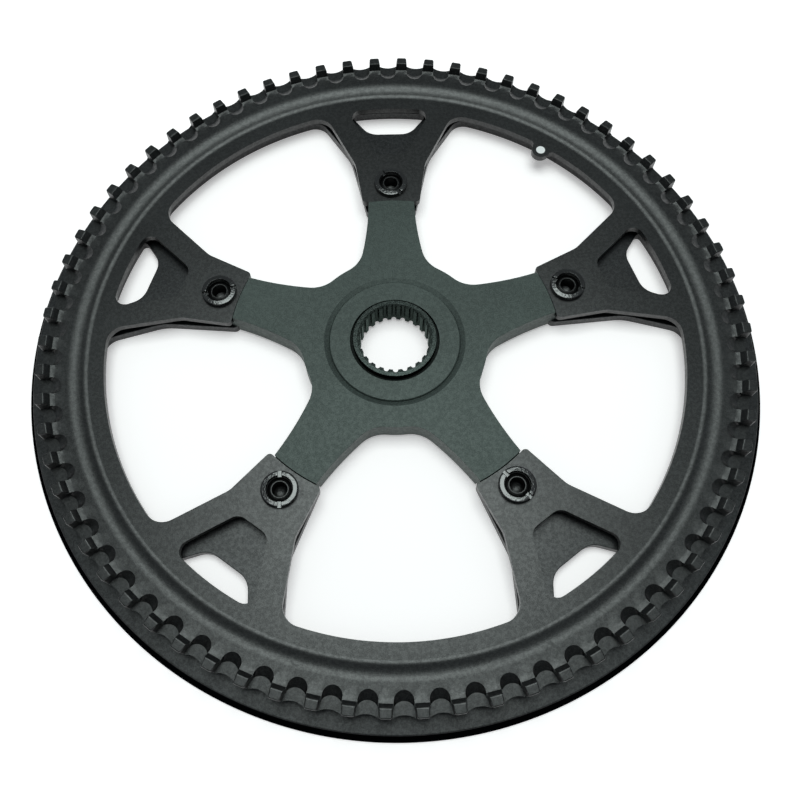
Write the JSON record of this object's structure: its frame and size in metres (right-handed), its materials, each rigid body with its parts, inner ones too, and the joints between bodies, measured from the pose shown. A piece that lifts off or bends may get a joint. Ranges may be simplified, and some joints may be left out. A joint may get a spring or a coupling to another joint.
{
  "type": "belt drive sprocket",
  "caption": "Bicycle front belt sprocket: a toothed ring with a centre rib and a flat belt guard, bolted to a star-shaped spider with a splined bore.",
  "frame": {"origin": "on the bore's axis, in the plane of the belt guard's back face", "axes": "+Z along the bore towards the nuts' side, +Y along the first arm"},
  "size_m": [0.2566, 0.2566, 0.0142],
  "materials": {
    "ring_black": "satin black anodised",
    "guard_black": "satin black anodised",
    "spider_grey": "blasted grey anodised",
    "nut_black": "gloss black",
    "bolt_black": "black oxide"
  },
  "bodies": {
    "root": {"sprocket_ring": "ring_black", "guard_ring": "guard_black", "spider": "spider_grey", "ring_nuts": "nut_black", "ring_bolts": "bolt_black"}
  },
  "joints": []
}
